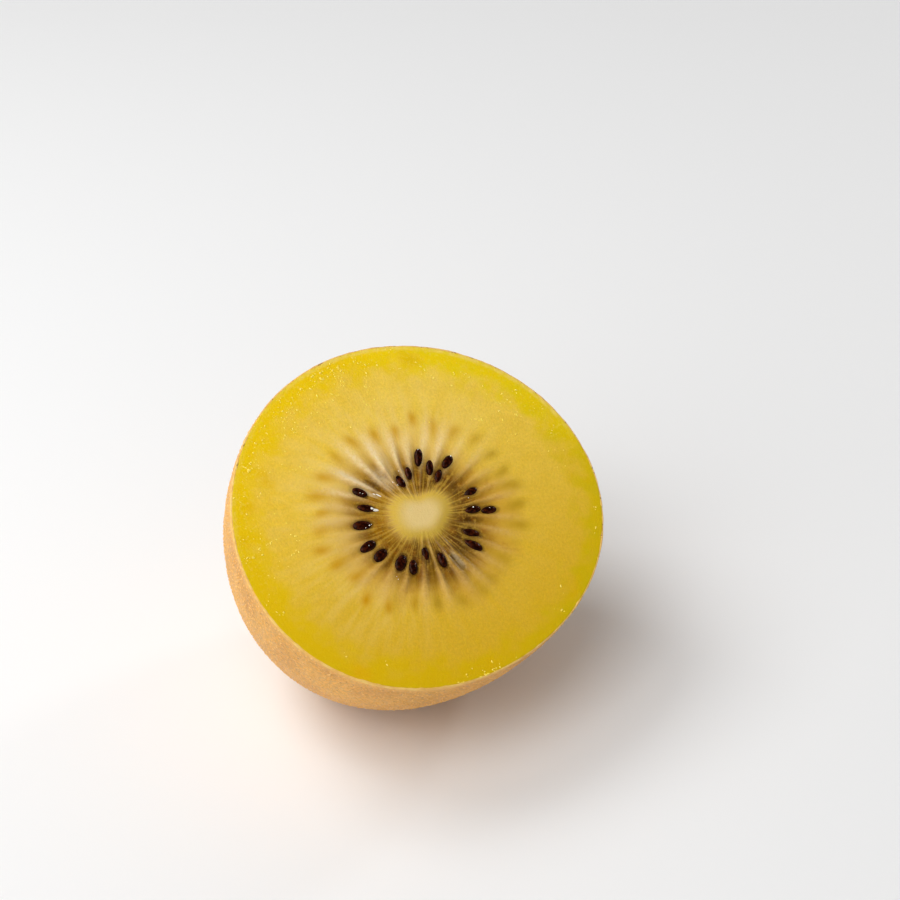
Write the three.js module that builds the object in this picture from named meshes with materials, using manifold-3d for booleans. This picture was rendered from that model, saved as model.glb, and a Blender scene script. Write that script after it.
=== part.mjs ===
// Half of a golden kiwi fruit, cut across its middle. It lies on its skin, on the small flat spot
// where the ripe fruit gives under its own weight, with the cut face up and leaning towards -Y.
// Millimetres, +Z up. The origin is the middle of the flat spot.
//
// The half is one grown piece, so it is one solid: skin, flesh, core and seeds together. Its own frame
// has the core's axis as +Z, out of the cut face, with the cut face at z = 0.

import * as THREE from "three";
import { mergeVertices } from "three/addons/utils/BufferGeometryUtils.js";
import Module from "manifold-3d";

// Size and stance
const MEAN_RADIUS = 27; // of the cut face, skin included
const HALF_LENGTH = 35; // from the cut face to the blossom end
const TILT_DEG = 31; // of the core's axis from upright
const SAG = 0.8; // how far the skin has flattened where it rests

// The cross-section isn't round: [waves per turn, share of the mean radius, direction of a crest in degrees]
const SECTION_WAVES = [
  [1, 0.026, 90],
  [2, 0.042, 9],
  [3, 0.011, 104],
];
const BLUNTNESS = 2.06; // exponent of the dome's profile: 2 is an ellipse, more is blunter

// Cut face
const CORE_RADIUS = 4.1;
const CORE_RISE = 0.25; // the firm core stands a little above the knife's plane
const LOCULES = 30; // seed chambers round the core, with a pale wall between each two
const LOCULE_DEPTH = 0.4; // the soft chambers sink between their walls
const LOCULE_END = 14.5; // radius where the chambers end and the even outer flesh starts

// Seeds: [degrees round the core, mm out from its axis], counted from +X
const SEED_LENGTH = 2.4;
const SEED_WIDTH = 1.3;
const SEED_THICKNESS = 1.0;
const SEED_SINK = 0.1; // how far a seed's middle lies under the knife's plane
const SEED_PLACES = [
  [4, 8.7], [38, 9.8], [40, 7.1], [52, 7.9], [64, 9.1], [77, 6.7], [92, 6.0], [124, 8.1],
  [136, 9.4], [150, 8.1], [168, 8.9], [188, 9.5], [201, 8.9], [221, 8.0], [234, 8.0], [249, 5.9],
  [268, 7.1], [282, 8.4], [307, 8.6], [319, 7.7], [344, 10.4], [346, 8.0],
];

// Blossom end: a shallow dimple with the stubs of the flower's dried styles in it
const DIMPLE_RADIUS = 4;
const DIMPLE_DEPTH = 0.7;
const STYLES = 7;
const STYLE_RADIUS = 0.35;
const STYLE_LENGTH = 2.2; // most of it is sunk in the fruit
const STYLE_RING = 0.75;
const STYLE_LEAN_DEG = 20;

// Facets
const SPOKES_PER_LOCULE = 4;
const SPOKES = LOCULES * SPOKES_PER_LOCULE;
const DOME_RINGS = 15;
const FACE_RADII = [1.5, 2.8, 3.7, 4.3, 5.3, 6.5, 8, 9.5, 11, 12.5, LOCULE_END];

const { degToRad, smoothstep } = THREE.MathUtils;

// Distance from the core's axis to the skin at the cut, in the direction angle
function rimRadius(angle) {
  const waves = SECTION_WAVES.map(
    ([count, share, crest]) => share * Math.cos(count * (angle - degToRad(crest))),
  );
  return MEAN_RADIUS * (1 + waves.reduce((sum, wave) => sum + wave));
}

// Height of the cut face above the knife's plane, in mm
function faceRelief(radius, angle) {
  const core = CORE_RISE * (1 - smoothstep(radius, 0.6 * CORE_RADIUS, 1.05 * CORE_RADIUS));
  const chamber = (1 - Math.cos(LOCULES * angle)) / 2; // 0 on a wall, 1 in the middle of a chamber
  const inwards = smoothstep(radius, CORE_RADIUS, 1.5 * CORE_RADIUS);
  const outwards = 1 - smoothstep(radius, 0.6 * LOCULE_END, LOCULE_END);
  return core - LOCULE_DEPTH * chamber * inwards * outwards;
}

// A point on the skin. latitude is 0 at the cut and a right angle at the blossom end.
function skinPoint(latitude, angle) {
  const power = 2 / BLUNTNESS;
  const radius = rimRadius(angle) * Math.cos(latitude) ** power;
  const dimple = DIMPLE_DEPTH * Math.exp(-((radius / DIMPLE_RADIUS) ** 2));
  const depth = HALF_LENGTH * Math.sin(latitude) ** power - dimple;
  return [radius * Math.cos(angle), radius * Math.sin(angle), -depth];
}

// The closed surface of skin and cut face, as rings of points from the core out and down to the blossom end
function bodyGeometry() {
  const angles = Array.from({ length: SPOKES }, (_, i) => (2 * Math.PI * i) / SPOKES);
  const rings = FACE_RADII.map((radius) =>
    angles.map((a) => [radius * Math.cos(a), radius * Math.sin(a), faceRelief(radius, a)]),
  );
  for (let i = 0; i < DOME_RINGS; i++) {
    const latitude = (Math.PI / 2) * (i / DOME_RINGS);
    rings.push(angles.map((a) => skinPoint(latitude, a)));
  }
  const points = [[0, 0, CORE_RISE], ...rings.flat(), [0, 0, -HALF_LENGTH + DIMPLE_DEPTH]];
  const at = (ring, spoke) => 1 + ring * SPOKES + (spoke % SPOKES);
  const last = rings.length - 1;
  const faces = [];
  for (let s = 0; s < SPOKES; s++) {
    faces.push([0, at(0, s), at(0, s + 1)]);
    for (let r = 0; r < last; r++) {
      faces.push([at(r, s), at(r + 1, s), at(r + 1, s + 1)]);
      faces.push([at(r, s), at(r + 1, s + 1), at(r, s + 1)]);
    }
    faces.push([points.length - 1, at(last, s + 1), at(last, s)]);
  }
  return new THREE.BufferGeometry()
    .setAttribute("position", new THREE.Float32BufferAttribute(points.flat(), 3))
    .setIndex(faces.flat());
}

// One seed, its long axis pointing at the core, half sunk in its chamber
function seedGeometry([degrees, distance]) {
  return new THREE.SphereGeometry(0.5, 8, 6)
    .rotateZ(-Math.PI / 2) // the poles lie along the seed
    .scale(SEED_LENGTH, SEED_WIDTH, SEED_THICKNESS)
    .translate(distance, 0, -SEED_SINK)
    .rotateZ(degToRad(degrees));
}

// One dried style: a short stub that leans outwards from the middle of the dimple, or stands in it
function styleGeometry(index) {
  const stub = new THREE.CylinderGeometry(STYLE_RADIUS, STYLE_RADIUS, STYLE_LENGTH, 6)
    .rotateX(Math.PI / 2);
  if (index > 0) {
    stub
      .rotateY(degToRad(-STYLE_LEAN_DEG))
      .translate(STYLE_RING, 0, 0)
      .rotateZ((2 * Math.PI * index) / (STYLES - 1));
  }
  return stub.translate(0, 0, -HALF_LENGTH + DIMPLE_DEPTH);
}

const wasm = await Module();
wasm.setup();

// A closed geometry as a solid that can be joined and cut
function solidOf(geometry) {
  const bare = new THREE.BufferGeometry()
    .setAttribute("position", geometry.getAttribute("position"))
    .setIndex(geometry.getIndex());
  const merged = mergeVertices(bare, 1e-5);
  return new wasm.Manifold(
    new wasm.Mesh({
      numProp: 3,
      vertProperties: merged.getAttribute("position").array,
      triVerts: new Uint32Array(merged.getIndex().array),
    }),
  );
}

function geometryOf(solid) {
  const { vertProperties, triVerts } = solid.getMesh();
  const geometry = new THREE.BufferGeometry()
    .setAttribute("position", new THREE.BufferAttribute(vertProperties, 3))
    .setIndex(new THREE.BufferAttribute(triVerts, 1));
  geometry.computeVertexNormals();
  return geometry;
}

// Stands the tilted fruit on z = 0, cuts its flat spot there and centres that on the origin
function rested(fruit) {
  const tilted = fruit.rotateX(degToRad(TILT_DEG));
  const lowest = new THREE.Box3().setFromBufferAttribute(tilted.getAttribute("position")).min.z;
  const stood = tilted.translate(0, 0, -lowest - SAG);
  const slab = new THREE.BoxGeometry(100, 100, 20).translate(0, 0, -10);
  const cut = geometryOf(solidOf(stood).subtract(solidOf(slab)));
  const position = cut.getAttribute("position");
  const spot = new THREE.Box2();
  for (let i = 0; i < position.count; i++) {
    if (Math.abs(position.getZ(i)) < 1e-4) {
      spot.expandByPoint(new THREE.Vector2(position.getX(i), position.getY(i)));
    }
  }
  const middle = spot.getCenter(new THREE.Vector2());
  return cut.translate(-middle.x, -middle.y, 0);
}

const pieces = [
  ...SEED_PLACES.map(seedGeometry),
  ...Array.from({ length: STYLES }, (_, index) => styleGeometry(index)),
];
const whole = pieces.reduce((body, piece) => body.add(solidOf(piece)), solidOf(bodyGeometry()));

const half = new THREE.Mesh(
  rested(geometryOf(whole)),
  new THREE.MeshStandardMaterial({ color: 0xe2ba4a, roughness: 0.45, metalness: 0 }),
);
half.name = "kiwi_half";

const kiwi = new THREE.Group();
kiwi.add(half);

export default kiwi;
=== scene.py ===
"""Half of a golden kiwi fruit, cut across its middle, on a pale studio floor.

The half lies on its skin with the cut face up, leaning towards -Y. Each piece is modelled in the fruit's own
frame, in millimetres: the core's axis is +Z, out of the cut face, and the knife's plane is z = 0. A Stance
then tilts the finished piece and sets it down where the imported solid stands, in metres.
"""

import logging
import math
from collections.abc import Callable, Sequence
from dataclasses import dataclass, field
from enum import Enum
from functools import cached_property

import bpy
import numpy as np
from bpy.types import Material, Node, NodeSocket, NodeTree, Object
from mathutils import Matrix, Vector


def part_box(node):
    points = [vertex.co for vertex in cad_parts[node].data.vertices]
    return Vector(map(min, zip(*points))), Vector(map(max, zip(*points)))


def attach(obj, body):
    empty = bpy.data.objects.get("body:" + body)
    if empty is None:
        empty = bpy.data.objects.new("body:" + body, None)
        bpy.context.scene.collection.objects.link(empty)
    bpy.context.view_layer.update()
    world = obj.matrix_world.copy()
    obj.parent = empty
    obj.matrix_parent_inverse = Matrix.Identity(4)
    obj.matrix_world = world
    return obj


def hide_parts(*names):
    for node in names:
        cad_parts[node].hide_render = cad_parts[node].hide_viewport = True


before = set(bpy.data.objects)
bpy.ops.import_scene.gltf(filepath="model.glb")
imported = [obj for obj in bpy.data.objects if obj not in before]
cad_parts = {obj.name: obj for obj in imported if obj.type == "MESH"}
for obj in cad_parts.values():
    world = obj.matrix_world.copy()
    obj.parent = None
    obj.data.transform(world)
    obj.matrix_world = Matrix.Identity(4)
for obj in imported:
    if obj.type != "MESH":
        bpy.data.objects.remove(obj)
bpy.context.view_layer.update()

log = logging.getLogger("golden_kiwi")

MM = 0.001
TURN = 2 * math.pi
NODE = "kiwi_half"
BODY = "root"

Numbers = np.ndarray
Colour = tuple[float, float, float, float]
Profile = list[tuple[float, float]]
Waves = tuple[tuple[int, float, float], ...]
Feeds = dict[int | str, object]
Sockets = dict[str, str]


class Slot(Enum):
    """The record's material slots."""

    FLESH = "flesh"
    SKIN = "skin"
    SEED = "seed"
    SCAR = "scar"


# --- Small helpers ---


def srgb(red: int, green: int, blue: int) -> Colour:
    """Turns a colour as a screen shows it, from 0 to 255, into the linear colour that shaders use."""
    shares = (red / 255, green / 255, blue / 255)
    return (*(s / 12.92 if s <= 0.04045 else ((s + 0.055) / 1.055) ** 2.4 for s in shares), 1.0)


def smoothstep(low: float, high: float, value: Numbers) -> Numbers:
    """Returns 0 below low, 1 above high, and a smooth climb between them."""
    share = np.clip((value - low) / (high - low), 0, 1)
    return share * share * (3 - 2 * share)


def turn_between(first: Numbers, second: Numbers) -> Numbers:
    """Returns the signed turn from second to first, from -pi to pi."""
    return (first - second + np.pi) % TURN - np.pi


def wave_sum(angle: Numbers, waves: Waves) -> Numbers:
    """Adds up waves round the core, each given as (waves a turn, height, direction of a crest in degrees)."""
    return np.sum([s * np.cos(n * (angle - math.radians(crest))) for n, s, crest in waves], axis=0)


def uneven(angle: Numbers, rng: np.random.Generator, waves: Sequence[int]) -> Numbers:
    """Makes a smooth unevenness round the fruit that joins up with itself, mostly from -1 to 1."""
    layers = [np.sin(count * angle + rng.uniform(0, TURN)) for count in waves]
    return np.sum(layers, axis=0) / math.sqrt(len(layers))


def direction(azimuth_deg: float, elevation_deg: float) -> Vector:
    """Finds where a camera or a light stands: azimuth 0 is in front, at -Y, and 90 at +X.

    Args:
        azimuth_deg: How far round the fruit.
        elevation_deg: How far up.

    Returns:
        The direction from the fruit, of length 1.
    """
    azimuth, elevation = math.radians(azimuth_deg), math.radians(elevation_deg)
    level = math.cos(elevation)
    return Vector((math.sin(azimuth) * level, -math.cos(azimuth) * level, math.sin(elevation)))


def rows(kind: type, *values: tuple[float, ...]) -> tuple:
    """Makes one object of a kind from each row of numbers."""
    return tuple(kind(*row) for row in values)


def deselect() -> None:
    """Leaves nothing selected, so that the next operator acts on its own piece alone."""
    bpy.ops.object.select_all(action="DESELECT")


def make_active(*pieces: Object) -> None:
    """Selects these pieces alone and makes the first the active one.

    Args:
        pieces: The pieces.
    """
    deselect()
    for piece in pieces:
        piece.select_set(True)
    bpy.context.view_layer.objects.active = pieces[0]


def read_points(piece: Object) -> Numbers:
    """Reads where a mesh's vertices are.

    Args:
        piece: The piece with the mesh.

    Returns:
        Their places, one row each.
    """
    points = np.empty(len(piece.data.vertices) * 3, np.float64)
    piece.data.vertices.foreach_get("co", points)
    return points.reshape(-1, 3)


def write_points(piece: Object, points: Numbers) -> None:
    """Moves a mesh's vertices to the given rows."""
    piece.data.vertices.foreach_set("co", np.ascontiguousarray(points, np.float64).ravel())
    piece.data.update()


def write_mask(piece: Object, name: str, values: Numbers) -> None:
    """Stores one number a vertex, for the piece's material to read."""
    mask = piece.data.attributes.new(name, "FLOAT", "POINT")
    mask.data.foreach_set("value", np.ascontiguousarray(values, np.float32))


def new_object(name: str, data: bpy.types.ID) -> Object:
    """Puts a mesh, a camera or a light into the scene.

    Args:
        name: The object's name.
        data: The mesh, camera or light that it holds.

    Returns:
        The object.
    """
    made = bpy.data.objects.new(name, data)
    bpy.context.scene.collection.objects.link(made)
    return made


def ball(segments: int, rings: int, radius: float = 1.0) -> Object:
    """Adds a ball, to be drawn out into beads, dots or seeds.

    Args:
        segments: How many faces there are round it.
        rings: How many from pole to pole.
        radius: Its radius.

    Returns:
        The ball, selected and active.
    """
    deselect()
    bpy.ops.mesh.primitive_uv_sphere_add(segments=segments, ring_count=rings, radius=radius)
    return bpy.context.object


def lathe(name: str, profile: Profile, steps: int) -> Object:
    """Turns a profile round the Z axis into a closed body.

    Args:
        name: The piece's name.
        profile: Points (distance from the axis, height), in order. It starts and ends on the axis, or closes
            on itself.
        steps: How many steps make a full turn.

    Returns:
        The piece, with its seam and poles merged, its faces pointing out and smooth shading.
    """
    mesh = bpy.data.meshes.new(name)
    mesh.from_pydata([(x, 0, z) for x, z in profile], [(i, i + 1) for i in range(len(profile) - 1)], [])
    piece = new_object(name, mesh)
    make_active(piece)
    turned = piece.modifiers.new("turn", "SCREW")
    turned.steps = turned.render_steps = steps
    turned.angle = TURN
    turned.use_merge_vertices = True
    turned.merge_threshold = 1e-4
    bpy.ops.object.modifier_apply(modifier=turned.name)
    bpy.ops.object.mode_set(mode="EDIT")
    bpy.ops.mesh.select_all(action="SELECT")
    bpy.ops.mesh.remove_doubles(threshold=1e-4)
    bpy.ops.mesh.normals_make_consistent(inside=False)
    bpy.ops.object.mode_set(mode="OBJECT")
    bpy.ops.object.shade_smooth()
    return piece


def scatter(name: str, template: Object, placings: Sequence[Matrix]) -> Object:
    """Copies a small closed shape to many places, as one mesh.

    Args:
        name: The new piece's name.
        template: The shape to copy. It is removed afterwards.
        placings: Where each copy goes, with its turn and its size.

    Returns:
        The piece.
    """
    shape = read_points(template)
    corners = [tuple(face.vertices) for face in template.data.polygons]
    places = np.array([[list(row) for row in placing] for placing in placings])
    points = np.einsum("nij,vj->nvi", places[:, :3, :3], shape) + places[:, None, :3, 3]
    starts = np.arange(len(placings)) * len(shape)
    faces = [tuple(start + c for c in face) for start in starts.tolist() for face in corners]
    bpy.data.objects.remove(template)
    mesh = bpy.data.meshes.new(name)
    mesh.from_pydata(points.reshape(-1, 3).tolist(), [], faces)
    piece = new_object(name, mesh)
    make_active(piece)
    bpy.ops.object.shade_smooth()
    return piece


# --- Form and stance ---


@dataclass(frozen=True)
class Polar:
    """Places seen along the core's axis: their distances from it in mm, and their directions in radians."""

    radius: Numbers
    angle: Numbers

    @classmethod
    def of(cls, points: Numbers) -> "Polar":
        """Finds the places of points, one row each."""
        return cls(np.hypot(points[:, 0], points[:, 1]), np.arctan2(points[:, 1], points[:, 0]))


@dataclass(frozen=True)
class FruitForm:
    """The form that skin and flesh share. section_waves says how the cross-section departs from a circle."""

    mean_radius: float = 27.0
    half_length: float = 35.0
    bluntness: float = 2.06
    dimple_radius: float = 4.0
    dimple_depth: float = 0.7
    even_radius: float = 14.5
    section_waves: Waves = ((1, 0.026, 90), (2, 0.042, 9), (3, 0.011, 104))

    def rim_share(self, angle: Numbers) -> Numbers:
        """Returns the rim's radius over the mean radius, in each direction."""
        return 1 + wave_sum(angle, self.section_waves)

    def dome(self, rings: int, inset: float) -> Profile:
        """Works out the profile of the dome of mean section.

        Args:
            rings: How many rings there are from the cut to the blossom end.
            inset: How far the profile lies inside the skin's outer face, in mm.

        Returns:
            The profile from the cut to the axis at the blossom end.
        """
        latitude = np.linspace(0, np.pi / 2, rings + 1)
        power = 2 / self.bluntness
        radius = (self.mean_radius - inset) * np.clip(np.cos(latitude), 0, 1) ** power
        dimple = self.dimple_depth * np.exp(-((radius / self.dimple_radius) ** 2))
        height = -(self.half_length - inset) * np.sin(latitude) ** power + dimple
        radius[-1] = 0
        return list(zip(radius.tolist(), height.tolist()))

    def sectioned(self, points: Numbers) -> Numbers:
        """Gives points of the round form the fruit's own cross-section.

        Args:
            points: Points of a round form. The cut face's inner part stays round.

        Returns:
            The points, moved in or out from the axis.
        """
        at = Polar.of(points)
        on_face = smoothstep(self.even_radius, self.mean_radius, at.radius)
        on_dome = smoothstep(0.0, 1.0, -points[:, 2])
        factor = 1 + (self.rim_share(at.angle) - 1) * np.maximum(on_face, on_dome)
        return points * np.stack([factor, factor, np.ones_like(factor)], axis=1)


@dataclass(frozen=True)
class Stance:
    """How the half lies: tilted by tilt_deg, set down by offset (m), its skin a little flattened below."""

    tilt_deg: float
    offset: Vector
    softness: float = 0.12

    @classmethod
    def of_frame(cls, form: FruitForm, tilt_deg: float) -> "Stance":
        """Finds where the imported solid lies, from its box.

        Args:
            form: The fruit's form.
            tilt_deg: How far the core's axis leans from upright.

        Returns:
            The stance that brings the rim to the box's sides.
        """
        angle = np.linspace(0, TURN, 721)
        radius = form.mean_radius * form.rim_share(angle)
        across, up_slope = radius * np.cos(angle), radius * np.sin(angle)
        tilt = math.radians(tilt_deg)
        low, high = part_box(NODE)
        right = high.x - across.max() * MM
        front = low.y - up_slope.min() * math.cos(tilt) * MM
        top = high.z - up_slope.max() * math.sin(tilt) * MM
        return cls(tilt_deg, Vector((right, front, top)))

    def matrix(self) -> Matrix:
        """Returns the move from the fruit's own frame, in mm, to the row's frame, in metres."""
        turn = Matrix.Rotation(math.radians(self.tilt_deg), 4, "X")
        return Matrix.Translation(self.offset) @ turn @ Matrix.Scale(MM, 4)

    def set_down(self, piece: Object, floor: float = 0.0) -> None:
        """Tilts a finished piece into place, and flattens what would reach below the floor.

        Args:
            piece: The piece, in the fruit's own frame.
            floor: The lowest that the piece may reach, in mm above the floor.
        """
        piece.data.transform(self.matrix())
        points = read_points(piece)
        over = points[:, 2] / MM - floor
        pressed = (over + np.hypot(over, self.softness)) / 2
        near = over < 4 * self.softness
        points[near, 2] = (pressed[near] + floor) * MM
        write_points(piece, points)


# --- What shows in the cut face. Directions are in degrees round the core, the rest in mm ---


@dataclass(frozen=True)
class SeedPlace:
    """One seed: where it lies, its size and how far its middle is below the flesh."""

    degrees: float
    distance: float
    length: float
    width: float
    sink: float = 0.1


SEED_PLACES = rows(
    SeedPlace,
    (4, 8.7, 2.3, 1.1), (38, 9.8, 2.5, 1.3, 0.05), (40, 7.1, 2.35, 1.1, 0.15), (52, 7.9, 2.5, 1.15, 0.1),
    (64, 9.1, 2.8, 1.25, 0.05), (77, 6.7, 2.2, 1.1, 0.15), (92, 6.0, 2.4, 1.3, 0.2),
    (124, 8.1, 2.2, 1.2, 0.65), (136, 9.4, 2.5, 1.3, 0.05), (150, 8.1, 2.5, 1.2, 0.05),
    (168, 8.9, 2.8, 1.5, 0.0), (188, 9.5, 2.75, 1.55, 0.0), (201, 8.9, 2.5, 1.6, 0.05),
    (221, 8.0, 2.7, 1.6, 0.05), (234, 8.0, 2.4, 1.35, 0.05), (249, 5.9, 2.3, 1.2, 0.2),
    (268, 7.1, 2.4, 1.25, 0.05), (282, 8.4, 2.2, 1.2, 0.55), (307, 8.6, 2.8, 1.4, 0.05),
    (319, 7.7, 2.6, 1.35, 0.15), (344, 10.4, 2.5, 1.2, 0.05), (346, 8.0, 2.4, 1.15, 0.05),
)


@dataclass(frozen=True)
class Chamber:
    """One seed chamber, from its own wall, at degrees, to the next chamber's.

    wall says how pale its wall is, end how far out the chamber reaches, spot how strong the amber spot there
    is, and inner how much of the wall's paleness is left beside the core.
    """

    degrees: float
    wall: float
    end: float
    spot: float
    inner: float = 0.4


CHAMBERS = rows(
    Chamber,
    (1, 0.45, 15.0, 0.75), (12, 0.5, 15.2, 0.75), (24, 0.45, 15.4, 0.55), (36, 0.4, 14.7, 0.64),
    (49, 0.6, 14.4, 0.65), (61, 0.45, 15.3, 0.8), (73, 0.6, 13.4, 0.75), (85, 0.9, 13.7, 0.8),
    (100, 1.0, 14.7, 0.75), (114, 0.85, 14.8, 0.6), (128, 1.0, 14.9, 0.75), (143, 0.8, 15.4, 0.7, 0.2),
    (153, 0.5, 14.6, 0.7, 0.05), (162, 0.75, 15.2, 0.65, 0.1), (173.5, 0.55, 16.2, 0.85, 0.05),
    (182.5, 0.7, 15.2, 0.8, 0.05), (194, 0.7, 14.2, 0.8, 0.05), (206, 0.65, 16.0, 1.0, 0.05),
    (218, 0.6, 15.4, 0.95, 0.05), (230, 0.65, 13.7, 0.75, 0.1), (245, 0.75, 13.4, 0.95, 0.35),
    (260, 0.8, 13.8, 0.8), (276, 0.75, 13.6, 0.85), (289, 0.65, 13.4, 0.8), (296, 0.25, 13.3, 0.35),
    (302, 0.5, 13.2, 0.85, 0.25), (315, 0.45, 14.2, 0.3, 0.25), (328, 0.6, 14.8, 0.9),
    (338, 0.4, 14.9, 0.95), (353, 0.5, 15.3, 0.8),
)


@dataclass(frozen=True)
class VeilAndHighlight:
    """A milky membrane over the pulp, in places a painted highlight: its middle, how far it spreads (degrees,
    mm) and how dense it is.
    """

    degrees: float
    distance: float
    spread: float
    reach: float
    strength: float


VEILS_AND_HIGHLIGHTS = rows(
    VeilAndHighlight,
    # The rows at 128 and 133 degrees paint the white gloss of a wet wall, a painted highlight.
    (110, 7.4, 8, 1.9, 0.55), (84, 6.6, 2, 1.5, 0.4), (128, 10.4, 1.6, 2.8, 0.9),
    (133, 8, 2, 1.4, 0.7), (97, 10, 5, 3, 0.3), (284, 8.0, 2.5, 1.6, 0.35),
)


@dataclass(frozen=True)
class Drop:
    """A near-white drop of gel, a painted glint, drawn out away from the core: its middle and its size."""

    degrees: float
    distance: float
    length: float
    width: float


# Each drop stands at a glint among the seeds; its near-white colour is a painted highlight.
DROPS = rows(
    Drop,
    (64.6, 10.25, 0.18, 0.14), (37.8, 10.8, 0.24, 0.2), (347.8, 8.04, 0.22, 0.2),
    (169.6, 7.9, 0.24, 0.2), (171.4, 8.55, 0.14, 0.12), (168.8, 7.57, 0.16, 0.12),
    (150.3, 6.65, 1.1, 0.42), (150.0, 7.2, 0.5, 0.3), (136.8, 8.9, 0.14, 0.12),
    (136.9, 9.28, 0.12, 0.1), (129.8, 6.65, 0.9, 0.22), (131.0, 7.3, 0.5, 0.14),
    (359.6, 8.03, 0.16, 0.14), (223.9, 10.6, 0.15, 0.12), (222.0, 10.3, 0.12, 0.1),
    (188.1, 9.44, 0.12, 0.1), (345.2, 10.46, 0.12, 0.1), (102.5, 6.3, 0.3, 0.1),
    (99.0, 5.6, 0.3, 0.12), (88.0, 7.4, 0.25, 0.08),
)


@dataclass(frozen=True)
class CutPattern:
    """The core, the seed chambers with pale walls between them, and the even outer flesh."""

    core_radius: float = 3.92
    core_waves: Waves = ((1, 0.052, 116), (2, 0.168, -5), (3, 0.069, 14), (4, 0.055, 21))
    core_rise: float = 0.15
    chamber_depth: float = 0.38
    pocket_depth: float = 0.03
    pocket_reach: float = 0.35
    pulp_reach: float = 12.0
    pulp_waves: Waves = ((1, 1.5, 272), (2, 0.8, -25), (3, 0.5, 0))
    raggedness: float = 0.9
    wall_start: float = 0.13
    wall_opens: float = 5.5
    wall_growth: float = 0.062
    wall_bend_deg: float = 1.5
    wall_bend_length: float = 3.5
    wall_tip: float = 0.12
    wall_strength: float = 0.92
    wall_sharpness: float = 2.1
    spot_width: float = 0.8
    spot_outwards: float = 1.1
    spot_inwards: float = 1.8
    spot_lean: float = 0.25
    spot_tail: float = 0.18
    swell_height: float = 0.05
    seed: int = 11

    def core_share(self, at: Polar) -> Numbers:
        """Returns the distance from the axis over the core's own radius in that direction."""
        return at.radius / (self.core_radius * (1 + wave_sum(at.angle, self.core_waves)))

    def walls(self, at: Polar) -> Numbers:
        """Draws the pale walls between the chambers.

        Args:
            at: Places on the cut face.

        Returns:
            1 in the middle of the palest wall, falling to 0 beside the walls and beyond their outer ends.
        """
        rng = np.random.default_rng(self.seed)
        found = np.zeros_like(at.radius)
        for chamber in CHAMBERS:
            bend = math.radians(rng.uniform(-self.wall_bend_deg, self.wall_bend_deg))
            phase = rng.uniform(0, np.pi)
            reach = chamber.end * rng.uniform(0.95, 1.1)
            growth = self.wall_growth * rng.uniform(0.7, 1.3) * (0.7 + 0.9 * chamber.wall)
            width = self.wall_start + growth * np.maximum(at.radius - self.wall_opens, 0)
            line = math.radians(chamber.degrees) + bend * np.sin(phase + at.radius / self.wall_bend_length)
            off = at.radius * np.abs(turn_between(at.angle, line))
            body = (1 - self.wall_tip) * (1 - smoothstep(0.7 * reach, 1.1 * reach, at.radius))
            tip = self.wall_tip * (1 - smoothstep(reach, 1.5 * reach, at.radius))
            full = smoothstep(6.0, 11.8 - 5.75 * chamber.inner, at.radius)
            fade = (body + tip) * (chamber.inner + (1 - chamber.inner) * full)
            strength = chamber.wall + 0.2 * (1 - chamber.wall) * smoothstep(8, 11, at.radius)
            profile = np.exp(-((off / width) ** self.wall_sharpness))
            found = np.maximum(found, self.wall_strength * strength * fade * profile)
        return found

    def spots(self, at: Polar) -> Numbers:
        """Draws the amber spot at each chamber's outer end, with its tail towards the core.

        Args:
            at: Places on the cut face.

        Returns:
            1 in the middle of the strongest spot, and 0 away from them all.
        """
        rng = np.random.default_rng(self.seed + 1)
        found = np.zeros_like(at.radius)
        for chamber, following in zip(CHAMBERS, CHAMBERS[1:] + CHAMBERS[:1]):
            size = rng.uniform(0.85, 1.2)
            middle = math.radians(chamber.degrees + (following.degrees - chamber.degrees) % 360 / 2)
            outwards = at.radius - chamber.end
            along = outwards / (np.where(outwards > 0, self.spot_outwards, self.spot_inwards) * size)
            lean = rng.uniform(-self.spot_lean, self.spot_lean) * outwards
            across = (at.radius * turn_between(at.angle, middle) - lean) / (self.spot_width * size)
            tail = self.spot_tail * smoothstep(-7.5, -4.5, outwards) * (1 - smoothstep(-1.2, 0.6, outwards))
            blob = np.maximum(np.exp(-(along**2)), tail)
            found = np.maximum(found, chamber.spot * blob * np.exp(-(across**2)))
        return found

    def pulp(self, at: Polar) -> Numbers:
        """Finds the soft pulp.

        Args:
            at: Places on the cut face.

        Returns:
            How clear and dark it is: 1 among the seeds, 0 in the core and the outer flesh.
        """
        rng = np.random.default_rng(self.seed + 2)
        ragged = self.raggedness * uneven(at.angle, rng, (5, 9, 17, 29))
        reach = self.pulp_reach + wave_sum(at.angle, self.pulp_waves)
        outside_core = smoothstep(0.7, 1.3, self.core_share(at))
        return outside_core * (1 - smoothstep(reach - 3.2, reach + 3.0, at.radius + ragged))

    def veil_and_highlight(self, at: Polar) -> Numbers:
        """Draws the milky membranes, and the painted highlight on a wet wall.

        Args:
            at: Places on the cut face.

        Returns:
            How much they cover each place, from 0 to 1.
        """
        found = np.zeros_like(at.radius)
        for veil_and_highlight in VEILS_AND_HIGHLIGHTS:
            across = turn_between(at.angle, math.radians(veil_and_highlight.degrees)) / math.radians(veil_and_highlight.spread)
            along = (at.radius - veil_and_highlight.distance) / veil_and_highlight.reach
            found = np.maximum(found, veil_and_highlight.strength * np.exp(-(across**4) - along**4))
        return found

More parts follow.
